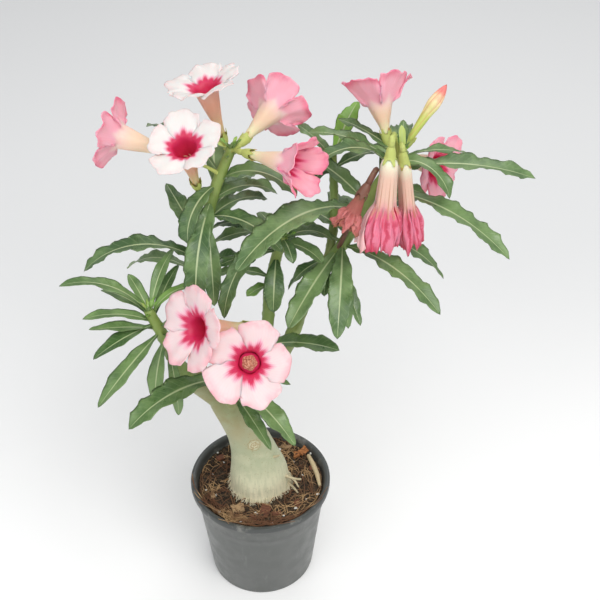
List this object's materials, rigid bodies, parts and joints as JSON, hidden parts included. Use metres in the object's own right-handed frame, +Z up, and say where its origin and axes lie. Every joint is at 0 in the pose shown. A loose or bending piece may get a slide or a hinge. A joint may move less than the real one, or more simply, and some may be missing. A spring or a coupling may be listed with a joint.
{
  "type": "potted desert rose",
  "caption": "Young branching desert rose plant with a swollen stem, long wavy leaves and open trumpet blooms, growing in a round nursery pot.",
  "frame": {"origin": "middle of the pot's underside", "axes": "+Z up out of the pot, -Y to the front of the plant, +X to its right"},
  "size_m": [0.2888, 0.1798, 0.3805],
  "materials": {
    "pot_plastic": "satin",
    "soil": "matte",
    "bark": "satin",
    "leaf": "satin",
    "petal_pale": "satin",
    "petal_pink": "satin",
    "petal_dry": "matte",
    "anther": "matte",
    "bud": "satin"
  },
  "bodies": {
    "root": {"pot": "pot_plastic", "soil": "soil", "trunk": "bark", "leafy_stem_left": "leaf", "leafy_stem_upper_left": "leaf", "leafy_stem_centre": "leaf", "leafy_stem_right": "leaf", "leafy_stem_low": "leaf", "bloom_front": "petal_pale", "bloom_front_left": "petal_pale", "bloom_white": "petal_pale", "bloom_top": "petal_pale", "bloom_far_left": "petal_pink", "bloom_back": "petal_pink", "bloom_middle": "petal_pink", "bloom_right": "petal_pink", "bloom_behind_leaves": "petal_pink", "bloom_hanging": "petal_pink", "bloom_hanging_right": "petal_pink", "bloom_dead": "petal_dry", "stamens_front": "anther", "stamens_front_left": "anther", "stamens_white": "anther", "stamens_top": "anther", "stamens_far_left": "anther", "stamens_middle": "anther", "bud": "bud"}
  },
  "joints": []
}
